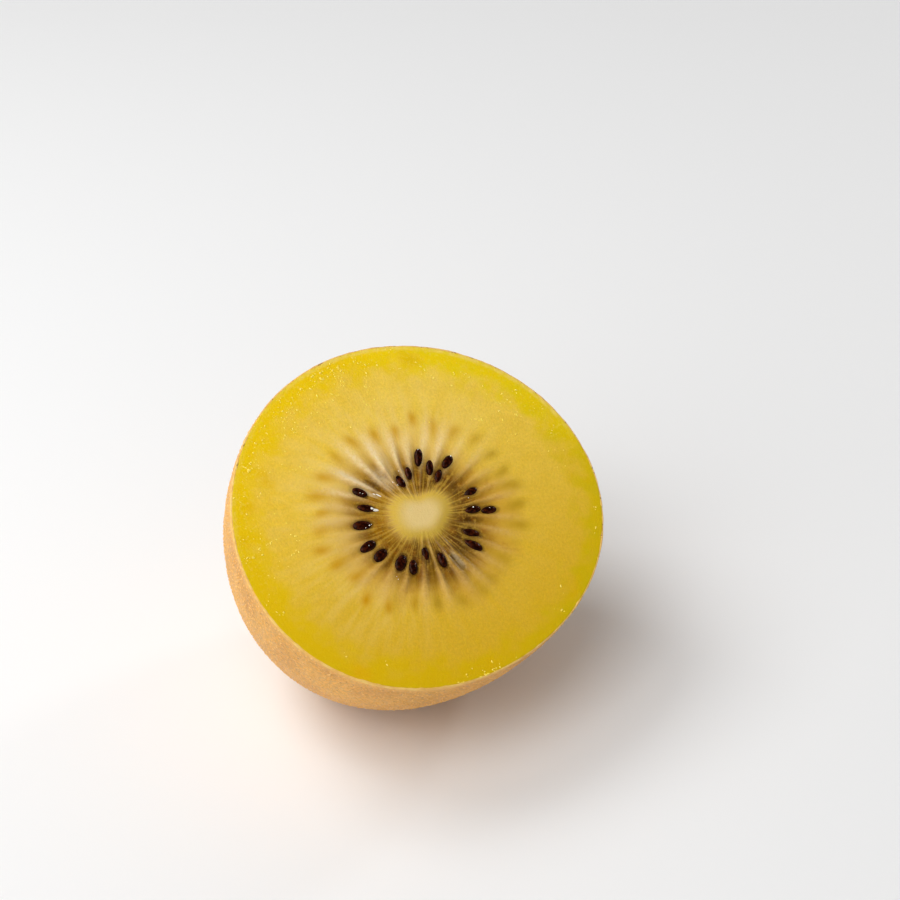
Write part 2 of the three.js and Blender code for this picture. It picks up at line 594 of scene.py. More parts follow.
    def seed_shade(self, at: Polar, reach: float) -> Numbers:
        """Finds what lies close to a seed.

        Args:
            at: Places on the cut face.
            reach: How far from a seed the shade fades, in mm.

        Returns:
            1 over a seed, falling to 0 away from all of them.
        """
        found = np.zeros_like(at.radius)
        for place in SEED_PLACES:
            turn = turn_between(at.angle, math.radians(place.degrees))
            along = at.radius * np.cos(turn) - place.distance
            across = at.radius * np.sin(turn)
            size = np.hypot(along / (place.length / 2), across / (place.width / 2))
            gap = (size - 1) * place.width / 2
            found = np.maximum(found, np.exp(-((np.maximum(gap, 0) / reach) ** 2)))
        return found

    def swell(self, at: Polar) -> Numbers:
        """Returns the gentle unevenness of the outer flesh."""
        rng = np.random.default_rng(self.seed + 3)
        return self.swell_height * uneven(at.angle, rng, (2, 3, 5)) * smoothstep(10, 22, at.radius)

    def relief(self, at: Polar) -> Numbers:
        """Works out the cut face's relief.

        Args:
            at: Places on the cut face.

        Returns:
            Their heights over the knife's plane.
        """
        pulp = self.pulp(at)
        core = self.core_rise * (1 - smoothstep(0.5, 1.05, self.core_share(at)))
        sunk = self.chamber_depth * pulp * (1 - self.walls(at))
        pocket = self.pocket_depth * self.seed_shade(at, self.pocket_reach) * pulp
        return core - sunk - pocket + self.swell(at)


# --- Shader building ---


@dataclass(frozen=True)
class Wire:
    """A node's output, which is added, subtracted and multiplied as a number is."""

    bench: "NodeBench"
    socket: NodeSocket

    def also(self, output: int | str) -> "Wire":
        """Returns another output of the same node."""
        return Wire(self.bench, self.socket.node.outputs[output])

    def __add__(self, other: "Wire | float") -> "Wire":
        """Adds a number to it."""
        return self.bench.maths("ADD", self, other)

    def __sub__(self, other: "Wire | float") -> "Wire":
        """Takes a number away from it."""
        return self.bench.maths("SUBTRACT", self, other)

    def __mul__(self, other: "Wire | float") -> "Wire":
        """Multiplies it by a number."""
        return self.bench.maths("MULTIPLY", self, other)

    def ramp(self, low: float, high: float, start: float = 0, end: float = 1) -> "Wire":
        """Turns it, between low and high, into a smooth climb from start to end."""
        values = {"Value": self, "From Min": low, "From Max": high, "To Min": start, "To Max": end}
        return self.bench.add("MapRange", values, interpolation_type="SMOOTHSTEP")


class NodeBench:
    """Lays out the nodes of one material or node group."""

    def __init__(self, tree: NodeTree, stance: Stance | None = None) -> None:
        """Starts on a node tree. stance is how the pieces lie that wear the material."""
        self.tree = tree
        self.stance = stance

    @cached_property
    def place(self) -> Wire:
        """Maps Object coordinates to the fruit's own frame.

        Returns:
            The place in mm.
        """
        values = {
            "Vector": self.add("TexCoord", {}, "Object"),
            "Location": self.stance.offset,
            "Rotation": (math.radians(self.stance.tilt_deg), 0, 0),
            "Scale": (MM, MM, MM),
        }
        return self.add("Mapping", values, vector_type="TEXTURE")

    def feed(self, node: Node, values: Feeds) -> None:
        """Links wires to a node's inputs, or sets them to plain values.

        Args:
            node: The node.
            values: What each input gets, by its name or number.
        """
        for name, value in values.items():
            target = node.inputs[name]
            if isinstance(value, Wire):
                self.tree.links.new(value.socket, target)
            else:
                target.default_value = value

    def add(self, kind: str, values: Feeds, output: int | str = 0, **settings: object) -> Wire:
        """Adds a node.

        Args:
            kind: The node's type, without ShaderNode.
            values: What its inputs get.
            output: The output that is used.
            settings: Its properties.

        Returns:
            That output.
        """
        node = self.tree.nodes.new("ShaderNode" + kind)
        for name, value in settings.items():
            setattr(node, name, value)
        self.feed(node, values)
        return Wire(self, node.outputs[output])

    def mask(self, name: str) -> Wire:
        """Reads one of the piece's own masks."""
        return self.add("Attribute", {}, "Fac", attribute_name=name)

    def maths(self, operation: str, first: object, second: object) -> Wire:
        """Works on two numbers."""
        return self.add("Math", {0: first, 1: second}, operation=operation)

    def split(self) -> tuple[Wire, Wire, Wire]:
        """Returns the place's three coordinates."""
        across = self.add("SeparateXYZ", {0: self.place})
        return across, across.also("Y"), across.also("Z")

    def noise(self, scale: object, detail: float = 2, rough: float = 0.5, place: Wire | None = None) -> Wire:
        """Adds a soft noise of the given number of waves a mm."""
        values = {"Vector": place or self.place, "Scale": scale, "Detail": detail, "Roughness": rough}
        return self.add("TexNoise", values, "Fac")

    def cells(self, scale: float, feature: str = "F1") -> Wire:
        """Returns the distance from the middles of random cells, with the given number of cells a mm."""
        return self.add("TexVoronoi", {"Vector": self.place, "Scale": scale}, "Distance", feature=feature)

    def bump(self, height: Wire, strength: float, depth: float) -> Wire:
        """Turns a height into a bump of the given depth in mm."""
        return self.add("Bump", {"Strength": strength, "Distance": depth * MM, "Height": height})

    def mix(self, factor: Wire, under: object, over: object, blend: str = "MIX") -> Wire:
        """Lays one colour over another, as strongly as factor says."""
        return self.add("Mix", {0: factor, 6: under, 7: over}, 2, data_type="RGBA", blend_type=blend)

    def layers(self, under: object, *layers: tuple) -> Wire:
        """Lays colours over each other, from the bottom up.

        Args:
            under: The lowest colour.
            layers: For each further one how much of it shows, the colour, and how it blends if not plainly.

        Returns:
            The colour.
        """
        for factor, over, *blend in layers:
            under = self.mix(factor, under, over, *blend)
        return under

    def group(self, tree: NodeTree, **values: object) -> Wire:
        """Sets a shared group at this place. Its inputs are named with underscores for spaces."""
        named = {name.replace("_", " "): value for name, value in values.items()}
        return self.add("Group", {"Place": self.place, **named}, node_tree=tree)


def new_group(name: str, inputs: Sockets, outputs: Sockets) -> tuple[NodeBench, dict[str, Wire]]:
    """Starts a shader node group that works on places in the fruit's own frame.

    Args:
        name: The group's name.
        inputs: Name and kind of each input besides Place.
        outputs: Name and kind of each output.

    Returns:
        A bench on the group, and what its inputs bring in.
    """
    tree = bpy.data.node_groups.new(name, "ShaderNodeTree")
    for side, sockets in (("INPUT", {"Place": "Vector", **inputs}), ("OUTPUT", outputs)):
        for socket, kind in sockets.items():
            tree.interface.new_socket(name=socket, in_out=side, socket_type="NodeSocket" + kind)
    bench = NodeBench(tree)
    given = {socket.name: Wire(bench, socket) for socket in tree.nodes.new("NodeGroupInput").outputs}
    bench.place = given["Place"]
    return bench, given


def close_group(bench: NodeBench, results: Feeds) -> NodeTree:
    """Brings the results to the group's outputs and returns the group."""
    bench.feed(bench.tree.nodes.new("NodeGroupOutput"), results)
    return bench.tree


def mottle_group() -> NodeTree:
    """Builds the shared mottling: soft patches of a second colour, and a finer grain of light and dark.

    Returns:
        The group. Its output is the mottled Colour.
    """
    numbers = dict.fromkeys(("Patch Scale", "Patches", "Grain Scale", "Grain"), "Float")
    colours = {"Colour": "Color", "Patch Colour": "Color"}
    bench, given = new_group("mottle", colours | numbers, {"Colour": "Color"})
    patches = bench.noise(given["Patch Scale"], 3.0).ramp(0.35, 0.65) * given["Patches"]
    patched = bench.mix(patches, given["Colour"], given["Patch Colour"])
    grain = bench.noise(given["Grain Scale"], 2.0, 0.6).ramp(0.25, 0.75, -1) * given["Grain"]
    lit = bench.add("VectorMath", {0: patched, "Scale": grain + 1.0}, operation="SCALE")
    return close_group(bench, {"Colour": lit})


def fibre_group() -> NodeTree:
    """Builds the shared fibres, which run out from the core's axis.

    Returns:
        The group. Its outputs are Fibre from 0 to 1, and Radius, the distance from the axis in mm.
    """
    outputs = {"Fibre": "Float", "Radius": "Float"}
    bench, given = new_group("fibres", {"Count": "Float"}, outputs)
    x, y, _ = bench.split()
    flat = bench.add("CombineXYZ", {"X": x, "Y": y})
    radius = bench.add("VectorMath", {0: flat}, "Value", operation="LENGTH")
    outwards = bench.add("VectorMath", {0: flat}, operation="NORMALIZE")
    around = bench.add("VectorMath", {0: outwards, "Scale": given["Count"]}, operation="SCALE")
    along = bench.add("CombineXYZ", {"Z": radius * 0.18})
    place = bench.add("VectorMath", {0: around, 1: along}, operation="ADD")
    fibre = bench.noise(1.0, place=place).ramp(0.3, 0.7)
    return close_group(bench, {"Fibre": fibre, "Radius": radius})


@dataclass(frozen=True)
class SharedGroups:
    """The node groups that more than one finish uses, each built once."""

    mottle: NodeTree = field(default_factory=mottle_group)
    fibres: NodeTree = field(default_factory=fibre_group)


# --- Finishes ---


def new_finish(name: str, dress: Callable[[NodeBench], Feeds], stance: Stance | None = None) -> Material:
    """Builds a material round one Principled shader.

    Args:
        name: Its name.
        dress: Lays out its other nodes on a bench, and returns what the shader's inputs get.
        stance: How the pieces lie that wear it.

    Returns:
        The material.
    """
    material = bpy.data.materials.new(name)
    material.use_nodes = True
    bench = NodeBench(material.node_tree, stance)
    bench.feed(material.node_tree.nodes["Principled BSDF"], dress(bench))
    return material


@dataclass(frozen=True)
class Finish:
    """What all finishes of the fruit share."""

    stance: Stance
    groups: SharedGroups
    name: str = ""

    def dress(self, bench: NodeBench) -> Feeds:
        """Lays out the finish's own nodes, and returns what the shader's inputs get."""
        raise NotImplementedError(self.name)

    def material(self) -> Material:
        """Builds the finish's material."""
        return new_finish(self.name, self.dress, self.stance)


@dataclass(frozen=True)
class FleshFinish(Finish):
    """Wet golden flesh: pale core, dark clear pulp between cream walls, yellow outer flesh, deeper rim."""

    name: str = "golden_flesh"
    outer: Colour = srgb(217, 174, 36)
    # Painted light: the outer flesh paler towards the top and the upper left.
    outer_painted_light_top: Colour = srgb(242, 206, 80)
    outer_painted_light_left: Colour = srgb(240, 197, 44)
    streak: Colour = srgb(242, 210, 118)
    haze: Colour = srgb(214, 170, 94)
    # Painted light: the haze paler towards the top.
    haze_painted_light_top: Colour = srgb(234, 198, 116)
    # Painted shade: the outer flesh darker to the right.
    outer_painted_shade_right: Colour = srgb(166, 118, 20)
    rim_gold: Colour = srgb(214, 175, 0)
    # Painted light: the rim band paler towards the top.
    rim_painted_light_top: Colour = srgb(247, 207, 2)
    rim_amber: Colour = srgb(226, 172, 0)
    rim_green: Colour = srgb(242, 254, 232)
    edge: Colour = srgb(246, 212, 96)
    wall: Colour = srgb(220, 182, 108)
    wall_near: Colour = srgb(208, 162, 76)
    # Painted light: the walls paler towards the top.
    wall_painted_light_top: Colour = srgb(250, 224, 172)
    line: Colour = srgb(248, 226, 172)
    milk_and_highlight: Colour = srgb(224, 202, 160)
    thread: Colour = srgb(206, 164, 62)
    pulp_left: Colour = srgb(168, 116, 12)
    pulp_right: Colour = srgb(104, 66, 6)
    pulp_far: Colour = srgb(68, 40, 2)
    pulp_outer: Colour = srgb(112, 70, 6)
    pulp_top: Colour = srgb(156, 110, 24)
    pulp_end: Colour = srgb(208, 160, 54)
    pulp_dark: Colour = srgb(60, 34, 6)
    rust: Colour = srgb(150, 84, 10)
    spot: Colour = srgb(206, 149, 4)
    spot_dull: Colour = srgb(186, 147, 30)
    core: Colour = srgb(232, 203, 134)
    core_edge: Colour = srgb(212, 176, 68)

    def outer_flesh(self, bench: NodeBench) -> Wire:
        """Colours the even outer flesh, streaked and hazy near the chambers. Painted light makes it paler
        upwards and to the left, and its haze paler upwards; painted shade makes it darker to the right.

        Args:
            bench: The material's bench.

        Returns:
            The colour.
        """
        x, y, _ = bench.split()
        leftwards = y - x
        fibre = bench.group(self.groups.fibres, Count=13.0)
        radius = fibre.also("Radius")
        # Painted light: paler towards the top and the upper left.
        ground = bench.layers(
            self.outer,
            (y.ramp(-22, 24), self.outer_painted_light_top),
            (leftwards.ramp(8, 30, 0, 0.5), self.outer_painted_light_left),
        )
        mottled = bench.group(
            self.groups.mottle, Colour=ground, Patch_Colour=self.outer, Patch_Scale=0.34, Patches=0.24,
            Grain_Scale=2.4, Grain=radius.ramp(11, 18, 0.1, 0.06),
        )
        # Painted light: the haze paler towards the top.
        haze = bench.mix(y.ramp(-4, 9), self.haze, self.haze_painted_light_top)
        return bench.layers(
            mottled,
            (fibre * (radius.ramp(11, 23, 0.62, 0.16) * leftwards.ramp(-16, 6, 0.15)), self.streak),
            (radius.ramp(9, 16.5, 0.8, 0) * leftwards.ramp(-10, 6), haze),
            # Painted shade: darker to the right.
            (radius.ramp(11.5, 16.5, 0.32, 0) * leftwards.ramp(-2, -18), self.outer_painted_shade_right),
        )

    def rimmed(self, bench: NodeBench, inside: Wire) -> Wire:
        """Lays the deeper, greener band under the skin over the outer flesh, with painted light towards the
        top.

        Args:
            bench: The material's bench.
            inside: The outer flesh's colour.

        Returns:
            The colour.
        """
        x, y, _ = bench.split()
        share = bench.mask("rim_share")
        band = bench.layers(
            self.rim_gold,
            # Painted light: the band is paler towards the top.
            ((y - x * 0.25).ramp(-35, 53) + (x + y).ramp(25, 33, 0, 0.35), self.rim_painted_light_top),
            (bench.noise(0.14, 1.0).ramp(0.58, 0.76, 0, 0.6), self.rim_amber),
            # Pale flecks, made stronger towards the top as painted light.
            (bench.noise(1.9, 3.0, 0.6).ramp(0.52, 0.68, 0, 0.3) * y.ramp(-8, 6, 0.15), self.edge),
            (x.ramp(-3, 17, 0, 0.9) * bench.noise(0.42).ramp(0.35, 0.65, 0.6), self.rim_green, "MULTIPLY"),
        )
        wander = bench.noise(0.36, 4.0).ramp(0.3, 0.7, -0.055, 0.055)
        narrow = wander - (y - x).ramp(-12, -28, 0, 0.035)
        deep = (share + narrow).ramp(0.77, 0.95) * 0.97
        broken = bench.noise(0.8, 3.0).ramp(0.35, 0.6, 0.3) * y.ramp(1, 9, 0, 0.9)
        at_edge = share.ramp(0.97, 0.99) * x.ramp(-16, 0, 0.3)
        return bench.layers(inside, (deep, band), (at_edge * broken, self.edge))

    def clear_pulp(self, bench: NodeBench, thread: Wire, share: Wire, grain: Wire) -> Wire:
        """Colours the soft pulp among the seeds, with its threads, dark pools and granules.

        Args:
            bench: The material's bench.
            thread: The fibres that run out from the core.
            share: The distance from the axis over the core's radius.
            grain: A fine grain, from 0 to 1.

        Returns:
            The colour.
        """
        x, y, _ = bench.split()
        rightwards = x - y
        radius = thread.also("Radius")
        shade = bench.mask("seed_shade")
        clear = bench.noise(0.5, 3.0, 0.6).ramp(0.46, 0.64, 0, 0.35)
        granules = bench.noise(1.7, 3.5, 0.65)
        among = radius.ramp(8.5, 11, 1, 0)
        seed_ring = bench.mix((x + y).ramp(-8, 5), self.pulp_outer, self.pulp_top)
        return bench.layers(
            self.pulp_left,
            (rightwards.ramp(-10, 2), self.pulp_right),
            (rightwards.ramp(7, 10), self.pulp_far),
            (radius.ramp(6.5, 10), seed_ring),
            (radius.ramp(8.5, 13), self.pulp_end),
            (clear * radius.ramp(8, 11, 1, 0), self.pulp_dark),
            ((shade - shade * shade) * grain.ramp(0, 1, 0, 1.6), self.thread),
            (bench.noise(0.7, 4.0, 0.65).ramp(0.5, 0.66, 0, 0.35), self.rust),
            (shade.ramp(0.3, 1.0, 0, 0.55), self.pulp_dark),
            (thread.ramp(0.5, 0.85) * share.ramp(1.2, 2.4, 0.5, 0.1), self.thread),
            (share.ramp(1.0, 1.6, 0.35, 0), self.thread),
            (granules.ramp(0.48, 0.36, 0, 0.3) * among, self.pulp_far),
            (granules.ramp(0.52, 0.68, 0, 0.36) * among, self.thread),
        )

    def dress(self, bench: NodeBench) -> Feeds:
        """Lays pulp, spots, walls, membranes and core over the outer flesh, and wets the chambers. Painted
        light makes the walls paler towards the top, and a membrane at the upper left holds a painted
        highlight.

        Args:
            bench: The material's bench.

        Returns:
            What the shader's inputs get.
        """
        x, y, _ = bench.split()
        share, pulp, wall = bench.mask("core_share"), bench.mask("pulp"), bench.mask("wall")
        thread = bench.group(self.groups.fibres, Count=21.0)
        grain = bench.noise(1.6, 4.0, 0.7).ramp(0.35, 0.65)
        broken = grain.ramp(0, 1, 0.6)
        golden = bench.mix(thread.also("Radius").ramp(8.5, 12), self.wall_near, self.wall)
        cut = bench.layers(
            self.rimmed(bench, self.outer_flesh(bench)),
            (pulp, self.clear_pulp(bench, thread, share, grain)),
            (bench.mask("spot"), bench.mix((x - y).ramp(-4, 10), self.spot, self.spot_dull)),
            # Painted light: the walls paler towards the top.
            (wall * broken, bench.mix(y.ramp(2, 10), golden, self.wall_painted_light_top)),
            (wall.ramp(0.72, 1.0, 0, 0.7), self.line),
            # Milky membranes, and at the upper left the painted highlight of a wet wall.
            (bench.mask("veil_and_highlight") * broken, self.milk_and_highlight),
        )
        core = bench.mix(share.ramp(0.35, 0.95), self.core, self.core_edge)
        feather = share + thread.ramp(0, 1, 0.08, -0.08)
        ribbed = thread * pulp.ramp(0, 1, 0.08, 0.35)
        return {
            "Base Color": bench.mix(feather.ramp(0.86, 1.14), core, cut),
            "Roughness": bench.noise(1.5, 3.0).ramp(0.3, 0.7, 0.36, 0.5) - pulp * 0.16,
            "Normal": bench.bump(bench.noise(3.2, 4.0, 0.65) + ribbed, strength=0.6, depth=0.14),
            "Coat Weight": (pulp * 0.2 + 0.04) * wall.ramp(0.01, 0.3, 1, 0.15),
            "Coat Roughness": 0.1,
            "Specular IOR Level": 0.1,
            "Subsurface Weight": 0.18,
            "Subsurface Radius": (1.0, 0.62, 0.16),
            "Subsurface Scale": 0.0012,
        }


@dataclass(frozen=True)
class SkinFinish(Finish):
    """Thin golden-brown skin with olive and tan patches, pale where the knife has cut it."""

    name: str = "kiwi_skin"
    ground: Colour = srgb(228, 167, 68)
    patch: Colour = srgb(206, 137, 44)
    olive: Colour = srgb(188, 129, 38)
    speck: Colour = srgb(150, 84, 32)
    cut_edge: Colour = srgb(242, 200, 110)
    near_edge: Colour = srgb(242, 188, 98)
    fleck: Colour = srgb(140, 94, 34)
    russet: Colour = srgb(150, 80, 30)
    sheen: Colour = srgb(255, 226, 180)

    def dress(self, bench: NodeBench) -> Feeds:
        """Lays patches, specks, the russet pole and the cut lip over the ground colour.

        Args:
            bench: The material's bench.

        Returns:
            What the shader's inputs get.
        """
        x, y, z = bench.split()
        mottled = bench.group(
            self.groups.mottle, Colour=self.ground, Patch_Colour=self.patch, Patch_Scale=0.16, Patches=0.5,
            Grain_Scale=2.2, Grain=0.2,
        )
        worn = bench.noise(0.7, 3.0).ramp(0.35, 0.62, 0.25)
        at_lip = z.ramp(-0.3, -0.1) * (x + y).ramp(-16, -4)
        colour = bench.layers(
            mottled,
            (bench.noise(0.09, 3.0).ramp(0.45, 0.75, 0, 0.34), self.olive),
            (bench.cells(0.9).ramp(0.07, 0.2, 0.7, 0), self.speck),
            (bench.mask("pole").ramp(0, 1, 0, 0.75), self.russet),
            (z.ramp(-1.6, -0.2, 0, 0.5), self.near_edge),
            (z.ramp(-0.4, -0.12) * worn, self.cut_edge),
            (bench.noise(1.3, 3.0, 0.6).ramp(0.58, 0.66, 0, 0.85) * at_lip, self.fleck),
        )
        pores = bench.cells(2.4, "SMOOTH_F1") + bench.noise(5.0, 3.0, 0.6)
        return {
            "Base Color": colour,
            "Roughness": bench.noise(1.1, 3.0).ramp(0.3, 0.7, 0.42, 0.6),
            "Normal": bench.bump(pores, strength=0.6, depth=0.12),
            "Sheen Weight": 0.14,
            "Sheen Roughness": 0.45,
            "Sheen Tint": self.sheen,
        }


@dataclass(frozen=True)
class DotFinish(Finish):
    """The raised dots of the skin, lighter than the skin they stand on."""

    name: str = "skin_dots"
    light: Colour = srgb(248, 200, 122)
    dull: Colour = srgb(230, 172, 88)

    def dress(self, bench: NodeBench) -> Feeds:
        """Varies the dots from light to dull.

        Args:
            bench: The material's bench.

        Returns:
            What the shader's inputs get.
        """
        blend = bench.noise(0.8).ramp(0.3, 0.7)
        rough = bench.noise(3.0).ramp(0.3, 0.7, 0.3, 0.5)
        return {"Base Color": bench.mix(blend, self.light, self.dull), "Roughness": rough}


@dataclass(frozen=True)
class SeedFinish(Finish):
    """Wet, nearly black seeds with a red-brown cast and a fine pitted coat."""

    name: str = "kiwi_seed"
    dark: Colour = srgb(22, 3, 1)
    warm: Colour = srgb(72, 24, 6)
    gloss: Colour = srgb(255, 196, 160)

    def dress(self, bench: NodeBench) -> Feeds:
        """Mottles and pits the seeds under a thin wet coat.

        Args:
            bench: The material's bench.

        Returns:
            What the shader's inputs get.
        """
        return {
            "Base Color": bench.mix(bench.noise(2.2, 3.0).ramp(0.4, 0.75), self.dark, self.warm),
            "Roughness": bench.noise(4.0).ramp(0.3, 0.7, 0.14, 0.24),
            "Normal": bench.bump(bench.cells(6.0), strength=0.5, depth=0.04),
            "IOR": 1.2,
            "Specular Tint": self.gloss,
            "Coat Weight": 0.04,
            "Coat Roughness": 0.08,
        }


@dataclass(frozen=True)
class JuiceGlintFinish(Finish):
    """Glossy beads of juice or gel on the cut face, whose pale colour is a painted glint."""

    name: str = "juice_painted_glint"
    # A pale colour that stands for light caught by the beads: a painted glint.
    glint_colour: Colour = srgb(255, 228, 92)

    def dress(self, bench: NodeBench) -> Feeds:
        """Gives the beads one pale colour, a painted glint, and a hard gloss, the same all over."""
        gloss = {"Roughness": 0.04, "IOR": 1.35, "Coat Weight": 0.5, "Coat Roughness": 0.03}
        return {"Base Color": self.glint_colour, **gloss}


@dataclass(frozen=True)
class ScarFinish(Finish):
    """The dried remains of the flower: nearly black, brown at the tips."""

    name: str = "blossom_scar"
    dark: Colour = srgb(34, 24, 20)
    brown: Colour = srgb(104, 66, 38)

    def dress(self, bench: NodeBench) -> Feeds:
        """Grains the stubs from black to brown.

        Args:
            bench: The material's bench.

        Returns:
            What the shader's inputs get.
        """
        grain = bench.noise(3.0, 4.0, 0.7)
        return {
            "Base Color": bench.mix(grain.ramp(0.4, 0.7), self.dark, self.brown),
            "Roughness": grain.ramp(0.3, 0.7, 0.6, 0.85),
            "Normal": bench.bump(grain, strength=0.8, depth=0.1),
        }


# --- The fruit's pieces ---


def adopt(piece: Object, material: Material) -> None:
    """Gives a finished piece its material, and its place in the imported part.

    Args:
        piece: The piece, in the row's frame.
        material: Its material.
    """
    piece.data.materials.clear()
    piece.data.materials.append(material)
    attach(piece, BODY)
    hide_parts(NODE)
    triangles = sum(len(face.vertices) - 2 for face in piece.data.polygons)
    log.info("%s: %d triangles", piece.name, triangles)


@dataclass
class Flesh:
    """The flesh: the cut face with all its relief, and the hidden dome inside the skin."""

    form: FruitForm
    pattern: CutPattern
    spokes: int = 480
    dome_rings: int = 24
    inset: float = 0.22
    bevel: float = 0.03
    core_step: float = 0.4
    fine_step: float = 0.19
    fine_from: float = 3.0
    fine_to: float = 16.0
    even_rings: int = 28
    rim_rings: int = 5
    shade_reach: float = 0.3

    def profile(self) -> Profile:
        """Works out the round profile: fine steps over the chambers, coarser ones over the even flesh.

        Returns:
            The profile, from the axis over the cut face and round the dome.
        """
        edge = self.form.mean_radius - self.inset
        core = np.arange(0, self.fine_from, self.core_step)
        chambers = np.arange(self.fine_from, self.fine_to, self.fine_step)
        even = np.linspace(self.fine_to, edge - 0.8, self.even_rings)
        rim = np.linspace(edge - 0.6, edge - self.bevel, self.rim_rings)
        face = [(float(r), 0.0) for r in np.concatenate([core, chambers, even, rim])]
        bevel = [(edge - 0.3 * self.bevel, -0.3 * self.bevel), (edge, -self.bevel)]
        return face + bevel + self.form.dome(self.dome_rings, self.inset)[1:]

    def build(self) -> Object:
        """Models the flesh in the fruit's own frame and stores its masks.

        Returns:
            The piece.
        """
        piece = lathe("flesh", self.profile(), self.spokes)
        points = self.form.sectioned(read_points(piece))
        at = Polar.of(points)
        on_face = points[:, 2] > -2 * self.bevel
        points[:, 2] += np.where(on_face, self.pattern.relief(at), 0)
        write_points(piece, points)
        rim = (self.form.mean_radius - self.inset) * self.form.rim_share(at.angle)
        write_mask(piece, "rim_share", at.radius / rim)
        write_mask(piece, "core_share", self.pattern.core_share(at))
        drawn = {
            "wall": self.pattern.walls(at),
            "spot": self.pattern.spots(at),
            "pulp": self.pattern.pulp(at),
            "seed_shade": self.pattern.seed_shade(at, self.shade_reach),
            "veil_and_highlight": self.pattern.veil_and_highlight(at),
        }
        for name, values in drawn.items():
            write_mask(piece, name, values * on_face)
        return piece


@dataclass
class Skin:
    """The skin: a thin shell, cut clean along the rim and a little uneven outside."""

    form: FruitForm
    pattern: CutPattern
    thickness: float = 0.3
    spokes: int = 420
    outer_rings: int = 120
    inner_rings: int = 24
    unevenness: float = 0.16
    swelling_width: float = 2.2
    lip_unevenness: float = 0.03
    pole_radius: float = 6.0
    seed: int = 5

    def profile(self) -> Profile:
        """Works out the closed round profile: over the cut edge, down outside, back up inside.

        Returns:
            The profile.
        """
        edge = self.form.mean_radius
        rounding = ((1.0, -0.06), (0.75, -0.02), (0.4, -0.01), (0.12, -0.05))
        lip = [(edge - share * self.thickness, height) for share, height in rounding]
        outside = self.form.dome(self.outer_rings, 0.0)
        outside[0] = (edge, -0.14)
        inside = self.form.dome(self.inner_rings, self.thickness)[::-1]
        return lip + outside + inside[:-1] + lip[:1]

    def build(self) -> Object:
        """Models the skin in the fruit's own frame.

        Returns:
            The piece.
        """
        piece = lathe("skin", self.profile(), self.spokes)
        points = self.form.sectioned(read_points(piece))
        angle = Polar.of(points).angle
        rng = np.random.default_rng(self.seed)
        at_lip = smoothstep(-0.3, -0.05, points[:, 2])
        points[:, 2] += at_lip * self.pattern.swell(Polar(np.full_like(angle, self.form.mean_radius), angle))
        points[:, 2] += self.lip_unevenness * at_lip * uneven(angle, rng, (31, 57, 83, 101, 139))
        write_points(piece, points)
        self.roughen(piece)
        points = read_points(piece)
        near_pole = 1 - smoothstep(1.5, self.pole_radius, Polar.of(points).radius)
        write_mask(piece, "pole", near_pole * (points[:, 2] < -self.form.mean_radius))
        return piece

    def roughen(self, piece: Object) -> None:
        """Makes the outside gently uneven.

        Args:
            piece: The skin.
        """
        make_active(piece)
        clouds = bpy.data.textures.new("skin_unevenness", "CLOUDS")
        clouds.noise_scale = self.swelling_width
        clouds.noise_depth = 3
        displaced = piece.modifiers.new("unevenness", "DISPLACE")
        displaced.texture = clouds
        displaced.strength = self.unevenness
        displaced.mid_level = 0.5
        bpy.ops.object.modifier_apply(modifier=displaced.name)


@dataclass
class SkinDots:
    """The fine raised dots all over the skin."""

    form: FruitForm
    skin: Object
    count: int = 8200
    smallest: float = 0.1
    largest: float = 0.2
    most_stretch: float = 1.5
    height_share: float = 0.55
    highest: float = -0.35
    jitter: float = 0.3
    seed: int = 21

    def near_skin(self) -> Numbers:
        """Spreads points evenly over the round dome, then jitters them.

        Returns:
            A point near the skin for each dot.
        """
        rng = np.random.default_rng(self.seed)
        profile = np.array(self.form.dome(400, 0.0))
        steps = np.diff(profile, axis=0)
        widths = (profile[1:, 0] + profile[:-1, 0]) / 2
        area = np.concatenate([[0], np.cumsum(np.hypot(*steps.T) * widths)])
        share = (np.arange(self.count) + rng.uniform(0, 1, self.count)) / self.count
        golden_turn = math.pi * (3 - math.sqrt(5))
        spacing = math.sqrt(TURN * area[-1] / self.count)
        radius = np.interp(share * area[-1], area, profile[:, 0])
        height = np.interp(share * area[-1], area, profile[:, 1])
        jitter = rng.normal(0, self.jitter * spacing, self.count) / np.maximum(radius, spacing)
        angle = golden_turn * np.arange(self.count) + jitter
        around = np.stack([radius * np.cos(angle), radius * np.sin(angle), height], axis=1)
        return self.form.sectioned(around)

    def build(self) -> Object:
        """Sets a low bead on the skin at each place, apart from the cut lip and the inside.

        Returns:
            The piece.
        """
        rng = np.random.default_rng(self.seed + 1)
        placings = []
        for point in self.near_skin():
            _, foot, normal, _ = self.skin.closest_point_on_mesh(Vector(point))
            if foot.z > self.highest or normal.z > 0.5:
                continue
            size = rng.uniform(self.smallest, self.largest)
            stretch = rng.uniform(1.0, self.most_stretch)
            upright = normal.to_track_quat("Z", "Y").to_matrix().to_4x4()
            spin = Matrix.Rotation(rng.uniform(0, TURN), 4, "Z")
            flat = Matrix.Diagonal((size * stretch, size, size * self.height_share, 1))
            placings.append(Matrix.Translation(foot) @ upright @ spin @ flat)
        return scatter("skin_dots", ball(6, 3), placings)


